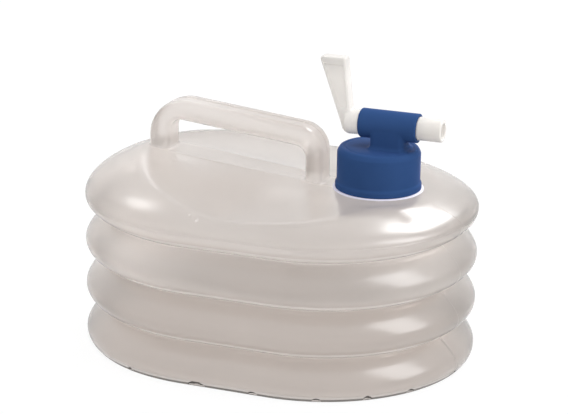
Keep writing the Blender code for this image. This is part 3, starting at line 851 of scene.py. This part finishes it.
def build_top():
    """Shoulder, recesses, ridge and grip as one walled skin, open below and at the neck."""
    rings = [[(x, y, CREST_Z - TOP_SKIRT) for x, y in outline(0.0)]]
    for ring in range(TOP_RINGS + 1):
        inset = (CREST_RADIUS - TOP_MIDDLE_INSET) * (ring / TOP_RINGS) ** TOP_RING_POWER
        rings.append([(x, y, top_z(x, y, inset)) for x, y in outline(inset)])
    top = mesh_object("bottle_top", rings)
    combine(top, build_grip(), "UNION")
    remesh(top, TOP_VOXEL, TOP_SMOOTHING)
    mesh = bmesh.new()
    mesh.from_mesh(top.data)
    bmesh.ops.bisect_plane(mesh, geom=mesh.verts[:] + mesh.edges[:] + mesh.faces[:],
                           plane_co=(0, 0, CREST_Z), plane_no=(0, 0, 1), clear_inner=True)
    mesh.to_mesh(top.data)
    mesh.free()
    emboss(top)
    mark_grip(top)
    hollow(top, WALL)
    opening = [circle(NECK_BORE, height, NECK_CUT_SIDES, NECK_X)
               for height in (PLATFORM_Z - NECK_CUT_BELOW, PLATFORM_Z + NECK_CUT_ABOVE)]
    combine(top, mesh_object("bore", opening), "DIFFERENCE")
    for side, reach in SEAM_REACHES:
        turn = end_turn(side)
        profile = []
        for step in range(1, SEAM_STEPS + 1):
            inset = reach * (step / SEAM_STEPS) ** SEAM_POWER
            radius = CREST_RADIUS - inset
            x = side * HALF_STRAIGHT + radius * math.cos(turn)
            profile.append((inset, top_z(x, radius * math.sin(turn), inset)))
        join(top, end_seam(profile, side))
    join(top, grip_seam())
    return top


def build_neck():
    """The neck's wall, a closed ring that stands in the platform."""
    foot_z = PLATFORM_Z - WALL
    section = [(NECK_BORE, foot_z), (NECK_RADIUS, foot_z), (NECK_RADIUS, NECK_TOP_Z - NECK_EDGE),
               (NECK_RADIUS - NECK_EDGE_MIDDLE, NECK_TOP_Z - NECK_EDGE_MIDDLE),
               (NECK_RADIUS - NECK_EDGE, NECK_TOP_Z), (NECK_BORE + NECK_BORE_EDGE, NECK_TOP_Z),
               (NECK_BORE, NECK_TOP_Z - NECK_BORE_EDGE)]
    rings = [circle(radius, height, NECK_SIDES, NECK_X) for radius, height in section]
    return mesh_object("bottle_neck", rings, loop=True)


def build_neck_ring():
    """The bright ring at the neck's foot that shows as a thin line under the cap."""
    low, high = PLATFORM_Z - NECK_RING_SINK, CAP_BASE_Z - NECK_RING_GAP
    section = [(NECK_RADIUS, low), (NECK_RING_RADIUS, low),
               (NECK_RING_RADIUS, high - NECK_RING_EDGE),
               (NECK_RING_RADIUS - NECK_RING_EDGE, high), (NECK_RADIUS, high)]
    rings = [circle(radius, height, NECK_RING_SIDES, NECK_X) for radius, height in section]
    return mesh_object("neck_foot_ring", rings, loop=True)


def build_thread(name, radius, bottom_z, turns, inward):
    """A helical thread ridge with tapered ends."""
    count = int(turns * THREAD_STEPS)
    direction = -1.0 if inward else 1.0
    rings = []
    for step in range(count + 1):
        angle = math.tau * step / THREAD_STEPS
        fade = min(1.0, step / THREAD_FADE_STEPS, (count - step) / THREAD_FADE_STEPS)
        lift = bottom_z + THREAD_PITCH * step / THREAD_STEPS
        tall = max(THREAD_HEIGHT * fade, THREAD_LEAST_HEIGHT)
        section = ((-THREAD_ROOT, -THREAD_FOOT_HALF), (tall, -THREAD_CREST_HALF),
                   (tall, THREAD_CREST_HALF), (-THREAD_ROOT, THREAD_FOOT_HALF))
        ring = []
        for out, up in section:
            reach = radius + direction * out
            ring.append((NECK_X + reach * math.cos(angle), reach * math.sin(angle), lift + up))
        rings.append(ring)
    return mesh_object(name, rings)


# ---- cap and tap ----

def build_cap():
    """Cap, stub and barrel as one moulding."""
    profile = rounded(CAP_SECTION, CAP_CORNER_STEPS)
    cap = mesh_object("cap_with_barrel", [circle(radius, height, CAP_SIDES, NECK_X)
                                          for radius, height in profile])
    stub = []
    for half_x, half_y, height in STUB_SECTIONS:
        reach = half_x - STUB_EDGE
        stub.append(block_ring(BARREL_MIDDLE_X - reach, BARREL_MIDDLE_X + reach,
                               half_y - STUB_EDGE, STUB_EDGE, height, STUB_EDGE_STEPS))
    combine(cap, mesh_object("stub", stub), "UNION")
    barrel = ((BARREL_RADIUS - BARREL_LIP, BARREL_START_X),
              (BARREL_RADIUS, BARREL_START_X + BARREL_LIP),
              (BARREL_RADIUS, BARREL_END_X - BARREL_LIP / 2),
              (BARREL_RADIUS - BARREL_LIP / 2, BARREL_END_X))
    rings = [side_circle(radius, along, BARREL_SIDES) for radius, along in barrel]
    combine(cap, mesh_object("barrel", rings), "UNION")
    bore = [side_circle(BARREL_BORE, along, BARREL_SIDES)
            for along in (BARREL_START_X - CUT_PAST, BARREL_END_X + CUT_PAST)]
    combine(cap, mesh_object("bore", bore), "DIFFERENCE")
    drain = [circle(DRAIN_RADIUS, height, DRAIN_SIDES, BARREL_MIDDLE_X)
             for height in (CAP_CEILING_Z - CUT_PAST, BARREL_Z)]
    combine(cap, mesh_object("drain", drain), "DIFFERENCE")
    remesh(cap, CAP_VOXEL, TAP_SMOOTHING)
    return cap


def build_lever():
    """The lever's solid, with a shallow panel in both broad sides."""
    rings = []
    for start_x, length, half_y, height in LEVER_SECTIONS:
        end_x = start_x + length
        rings.append(block_ring(start_x + LEVER_EDGE, end_x - LEVER_EDGE, half_y - LEVER_EDGE,
                                LEVER_EDGE, height, LEVER_EDGE_STEPS))
    lever = mesh_object("lever", rings)
    for side in (1.0, -1.0):
        near = side * (LEVER_HALF_WIDTH - PANEL_DEPTH)
        far = side * (LEVER_HALF_WIDTH + PANEL_DEPTH)
        panel = [[(start_x, near, height), (end_x, near, height),
                  (end_x, far, height), (start_x, far, height)]
                 for start_x, end_x, height in LEVER_PANEL]
        combine(lever, mesh_object("panel", panel), "DIFFERENCE")
    return lever


def build_spindle():
    """Lever, hub, hollow shaft and spout as one moulding."""
    grooves = []
    for middle in HUB_GROOVES:
        grooves += [(HUB_RADIUS, middle - HUB_GROOVE_HALF, 0),
                    (HUB_RADIUS - HUB_GROOVE_DEPTH, middle, 0),
                    (HUB_RADIUS, middle + HUB_GROOVE_HALF, 0)]
    profile = rounded([*HUB_SECTION, *grooves, *SPOUT_SECTION], SPINDLE_CORNER_STEPS)
    spindle = mesh_object("tap_lever_and_spout", [side_circle(radius, along, BARREL_SIDES)
                                                  for radius, along in profile])
    combine(spindle, build_lever(), "UNION")
    bore = [side_circle(SPINDLE_BORE, along, BORE_SIDES)
            for along in (BORE_START_X, SPOUT_END_X + CUT_PAST)]
    combine(spindle, mesh_object("bore", bore), "DIFFERENCE")
    port = [port_circle(PORT_RADIUS, y, PORT_SIDES) for y in (-SPINDLE_RADIUS - CUT_PAST, 0.0)]
    combine(spindle, mesh_object("port", port), "DIFFERENCE")
    remesh(spindle, TAP_VOXEL, TAP_SMOOTHING)
    return spindle


# ---- materials ----

def plastic(name, color, shade, roughness, cloud_scale=BOTTLE_CLOUDS, grain_scale=BOTTLE_GRAIN,
            grain_height=GRAIN_HEIGHT, wave_height=0.0, painted_shade_by_height=None, **sockets):
    """Moulded plastic: cloudy colour, uneven gloss and a fine grain, from object-space noise.

    A wave_height adds a slow swell of the surface. The painted_shade_by_height (low, high, share)
    is painted light and shade: it scales the colour from share at height low to 1 at height high.
    """
    material = bpy.data.materials.new(name)
    material.use_nodes = True
    nodes = material.node_tree.nodes
    links = material.node_tree.links
    shader = nodes["Principled BSDF"]
    for socket, value in sockets.items():
        shader.inputs[socket.replace("_", " ")].default_value = value
    place = nodes.new("ShaderNodeTexCoord")

    def noise(scale, kind):
        """One of the plastic's noises."""
        texture = nodes.new("ShaderNodeTexNoise")
        texture.inputs["Scale"].default_value = scale
        texture.inputs["Detail"].default_value = NOISE_DETAIL[kind]
        links.new(place.outputs["Object"], texture.inputs["Vector"])
        return texture

    clouds = noise(cloud_scale, "clouds")
    ramp = nodes.new("ShaderNodeValToRGB")
    for end, position, tone in zip(ramp.color_ramp.elements, CLOUD_RANGE, (shade, color)):
        end.position = position
        end.color = (*tone, 1.0)
    links.new(clouds.outputs["Fac"], ramp.inputs["Fac"])
    tint = ramp.outputs["Color"]
    # Painted light and shade by height
    if painted_shade_by_height:
        low, high, share = painted_shade_by_height
        parts = nodes.new("ShaderNodeSeparateXYZ")
        links.new(place.outputs["Object"], parts.inputs["Vector"])
        rise = nodes.new("ShaderNodeMapRange")
        rise.inputs["From Min"].default_value = low
        rise.inputs["From Max"].default_value = high
        rise.inputs["To Min"].default_value = share
        links.new(parts.outputs["Z"], rise.inputs["Value"])
        scale = nodes.new("ShaderNodeVectorMath")
        scale.operation = "SCALE"
        links.new(tint, scale.inputs["Vector"])
        links.new(rise.outputs["Result"], scale.inputs["Scale"])
        tint = scale.outputs["Vector"]
    links.new(tint, shader.inputs["Base Color"])
    gloss = nodes.new("ShaderNodeMapRange")
    gloss.inputs["To Min"].default_value = roughness * GLOSS_RANGE[0]
    gloss.inputs["To Max"].default_value = roughness * GLOSS_RANGE[1]
    streaks = noise(cloud_scale * STREAK_FINENESS, "streaks")
    links.new(streaks.outputs["Fac"], gloss.inputs["Value"])
    links.new(gloss.outputs["Result"], shader.inputs["Roughness"])
    grain = noise(grain_scale, "grain")
    bump = nodes.new("ShaderNodeBump")
    bump.inputs["Strength"].default_value = 1.0
    bump.inputs["Distance"].default_value = grain_height
    links.new(grain.outputs["Fac"], bump.inputs["Height"])
    links.new(bump.outputs["Normal"], shader.inputs["Normal"])
    if wave_height:
        waves = noise(BOTTLE_WAVES, "waves")
        swell = nodes.new("ShaderNodeBump")
        swell.inputs["Strength"].default_value = 1.0
        swell.inputs["Distance"].default_value = wave_height
        links.new(waves.outputs["Fac"], swell.inputs["Height"])
        links.new(swell.outputs["Normal"], bump.inputs["Normal"])
    return material


# The bottle's plastic, painted darker towards the bottom as painted shade
frosted = plastic("frosted_polyethylene", (0.672, 0.618, 0.584), (0.638, 0.584, 0.550), 0.60,
                  wave_height=0.0004, painted_shade_by_height=(0.035, 0.095, 0.965), IOR=1.12,
                  Transmission_Weight=1.0, Coat_Weight=1.0, Coat_Roughness=0.22, Coat_IOR=1.8)
# A lighter copy of the bottle's plastic on the grip, as painted light
grip_plastic = plastic("frosted_grip", (0.84, 0.790, 0.757), (0.81, 0.760, 0.727), 0.60,
                       wave_height=0.0003, IOR=1.12, Transmission_Weight=0.9, Coat_Weight=1.0,
                       Coat_Roughness=0.20, Coat_IOR=1.6)
# A painted light line along the lower flank of each fold, also worn by the bellows' parting line
painted_fold_light = plastic("fold_painted_light", (0.90, 0.868, 0.84), (0.87, 0.838, 0.81), 0.50, IOR=1.3,
                   Transmission_Weight=0.6, Coat_Weight=1.0, Coat_Roughness=0.25)
inside = plastic("frosted_inside", (0.99, 0.985, 0.98), (0.97, 0.965, 0.96), 0.60, IOR=1.02,
                 Transmission_Weight=1.0)
# A darker copy of the bottle's plastic on the foot rim, as painted shade near the floor
rim = plastic("frosted_rim", (0.59, 0.543, 0.512), (0.56, 0.513, 0.482), 0.60,
              wave_height=0.0004, IOR=1.15, Transmission_Weight=0.95, Coat_Weight=1.0,
              Coat_Roughness=0.22, Coat_IOR=1.5)
pan_floor = plastic("frosted_pan", (0.715, 0.668, 0.636), (0.685, 0.638, 0.606), 0.60, IOR=1.10,
                    Transmission_Weight=1.0)
# Painted contact shadow along the foot's lowest band
foot_painted_shadow = plastic("foot_painted_shadow", (0.30, 0.281, 0.262), (0.25, 0.233, 0.217), 0.55, FINE_CLOUDS,
                    IOR=1.3, Transmission_Weight=0.2)
notch_shade = plastic("notch_shade", (0.12, 0.112, 0.102), (0.09, 0.084, 0.076), 0.55,
                      FINE_CLOUDS, IOR=1.3, Transmission_Weight=0.2)
blue = plastic("blue_polyethylene", (0.034, 0.081, 0.218), (0.029, 0.071, 0.195), 0.22,
               PART_CLOUDS, PART_GRAIN, IOR=1.045, Sheen_Weight=0.09, Sheen_Roughness=0.30,
               Sheen_Tint=(0.22, 0.12, 1.0, 1.0))
# Painted light and shade on the tap: below the lever's upper part the colour is 1.17 times brighter
# than on it
white = plastic("white_polypropylene", (0.84, 0.815, 0.785), (0.80, 0.775, 0.745), 0.60,
                PART_CLOUDS, PART_GRAIN, painted_shade_by_height=(0.192, 0.204, 1.17), IOR=1.15,
                Transmission_Weight=0.35, Coat_Weight=1.0, Coat_Roughness=0.22, Coat_IOR=1.3)
# The neck ring is a real step; its bright lilac-white colour is painted light, the light line under
# the cap
neck_white = plastic("neck_ring_white", (0.86, 0.84, 0.97), (0.82, 0.80, 0.93), 0.40,
                     PART_CLOUDS, PART_GRAIN, IOR=1.45)
seal = plastic("soft_seal", (0.62, 0.62, 0.60), (0.58, 0.58, 0.56), 0.65, FINE_CLOUDS,
               PART_GRAIN, grain_height=0.00003)

# ---- pieces ----

bellows = dress(build_bellows(), (frosted, inside, painted_fold_light, inside), "base",
                ("bellows_fold_1", "bellows_fold_2", "bellows_fold_3", "bellows_fold_4"))
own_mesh(bellows)
dress(build_base(), (rim, foot_painted_shadow, notch_shade, pan_floor), "base", ("base_pan",),
      RING_SHARP)
dress(build_top(), (frosted, inside, grip_plastic, inside), "top", ("top_shell",),
      TOP_SHARP)
dress(build_neck(), (frosted,), "top", (), RING_SHARP)
dress(build_neck_ring(), (neck_white,), "top", (), RING_SHARP)
dress(build_thread("neck_thread", NECK_RADIUS, THREAD_Z, NECK_THREAD_TURNS, False),
      (frosted,), "top", (), THREAD_SHARP)
dress(build_cap(), (blue,), "cap", ("screw_cap",))
dress(build_thread("cap_thread", CAP_BORE, THREAD_Z + THREAD_PITCH / 2, CAP_THREAD_TURNS, True),
      (blue,), "cap", (), THREAD_SHARP)
dress(build_spindle(), (white,), "spindle", ("tap_spindle",))
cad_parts["cap_washer"].data.materials.clear()
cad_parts["cap_washer"].data.materials.append(seal)

# ---- stage, light and camera ----


def area_light(name, place, target, width, height, power, turn):
    """A softbox facing target, turned in its own plane by turn degrees."""
    data = bpy.data.lights.new(name, "AREA")
    data.shape = "RECTANGLE"
    data.size = width
    data.size_y = height
    data.energy = power
    light = bpy.data.objects.new(name, data)
    bpy.context.scene.collection.objects.link(light)
    light.location = place
    aim = (Vector(target) - Vector(place)).to_track_quat("-Z", "Y")
    light.rotation_euler = (aim @ Quaternion((0.0, 0.0, 1.0), math.radians(turn))).to_euler()


def seen_directly(tree):
    """1 for what the camera sees, straight, in a reflection or through a clear wall, else 0."""
    path = tree.nodes.new("ShaderNodeLightPath")
    value = path.outputs["Is Camera Ray"]
    for kind in ("Is Glossy Ray", "Is Transmission Ray"):
        either = tree.nodes.new("ShaderNodeMath")
        either.operation = "MAXIMUM"
        tree.links.new(value, either.inputs[0])
        tree.links.new(path.outputs[kind], either.inputs[1])
        value = either.outputs[0]
    return value


for lamp in LAMPS:
    area_light(*lamp)

world = bpy.data.worlds.new("studio")
bpy.context.scene.world = world
world.use_nodes = True
world_tree = world.node_tree
mix = world_tree.nodes.new("ShaderNodeMix")
mix.data_type = "FLOAT"
mix.inputs["A"].default_value = AMBIENT
mix.inputs["B"].default_value = 1.0
world_tree.links.new(seen_directly(world_tree), mix.inputs["Factor"])
background = world_tree.nodes["Background"]
background.inputs["Color"].default_value = (1.0, 1.0, 1.0, 1.0)
world_tree.links.new(mix.outputs["Result"], background.inputs["Strength"])

floor_data = bpy.data.meshes.new("floor")
floor_data.from_pydata([(-FLOOR_HALF, -FLOOR_HALF, 0.0), (FLOOR_HALF, -FLOOR_HALF, 0.0),
                        (FLOOR_HALF, FLOOR_HALF, 0.0), (-FLOOR_HALF, FLOOR_HALF, 0.0)],
                       [], [(0, 1, 2, 3)])
floor = bpy.data.objects.new("floor", floor_data)
bpy.context.scene.collection.objects.link(floor)
floor_material = bpy.data.materials.new("studio_floor")
floor_material.use_nodes = True
floor_tree = floor_material.node_tree
floor_shader = floor_tree.nodes["Principled BSDF"]
floor_shader.inputs["Base Color"].default_value = FLOOR_COLOR
floor_shader.inputs["Roughness"].default_value = FLOOR_ROUGHNESS
floor_shader.inputs["Specular IOR Level"].default_value = 0.0
floor_glow = floor_tree.nodes.new("ShaderNodeEmission")
floor_glow.inputs["Strength"].default_value = FLOOR_GLOW
floor_mix = floor_tree.nodes.new("ShaderNodeMixShader")
glow_share = floor_tree.nodes.new("ShaderNodeMath")
glow_share.operation = "MULTIPLY"
glow_share.inputs[1].default_value = FLOOR_GLOW_SHARE
floor_tree.links.new(seen_directly(floor_tree), glow_share.inputs[0])
floor_tree.links.new(glow_share.outputs[0], floor_mix.inputs["Fac"])
floor_tree.links.new(floor_shader.outputs[0], floor_mix.inputs[1])
floor_tree.links.new(floor_glow.outputs[0], floor_mix.inputs[2])
floor_tree.links.new(floor_mix.outputs[0], floor_tree.nodes["Material Output"].inputs["Surface"])
floor_data.materials.append(floor_material)

camera_right = CAMERA_SIDEWAYS - CAMERA_FORWARD * CAMERA_SIDEWAYS.dot(CAMERA_FORWARD)
camera_right = camera_right.normalized()
camera_up = camera_right.cross(CAMERA_FORWARD)
camera_data = bpy.data.cameras.new("camera")
camera_data.sensor_width = SENSOR_WIDTH
camera_data.lens = LENS
camera = bpy.data.objects.new("camera", camera_data)
bpy.context.scene.collection.objects.link(camera)
turned = Matrix((camera_right, camera_up, -CAMERA_FORWARD)).transposed().to_4x4()
turned.translation = CAMERA_PLACE
camera.matrix_world = turned
bpy.context.scene.camera = camera
bpy.context.scene.view_settings.view_transform = "Standard"
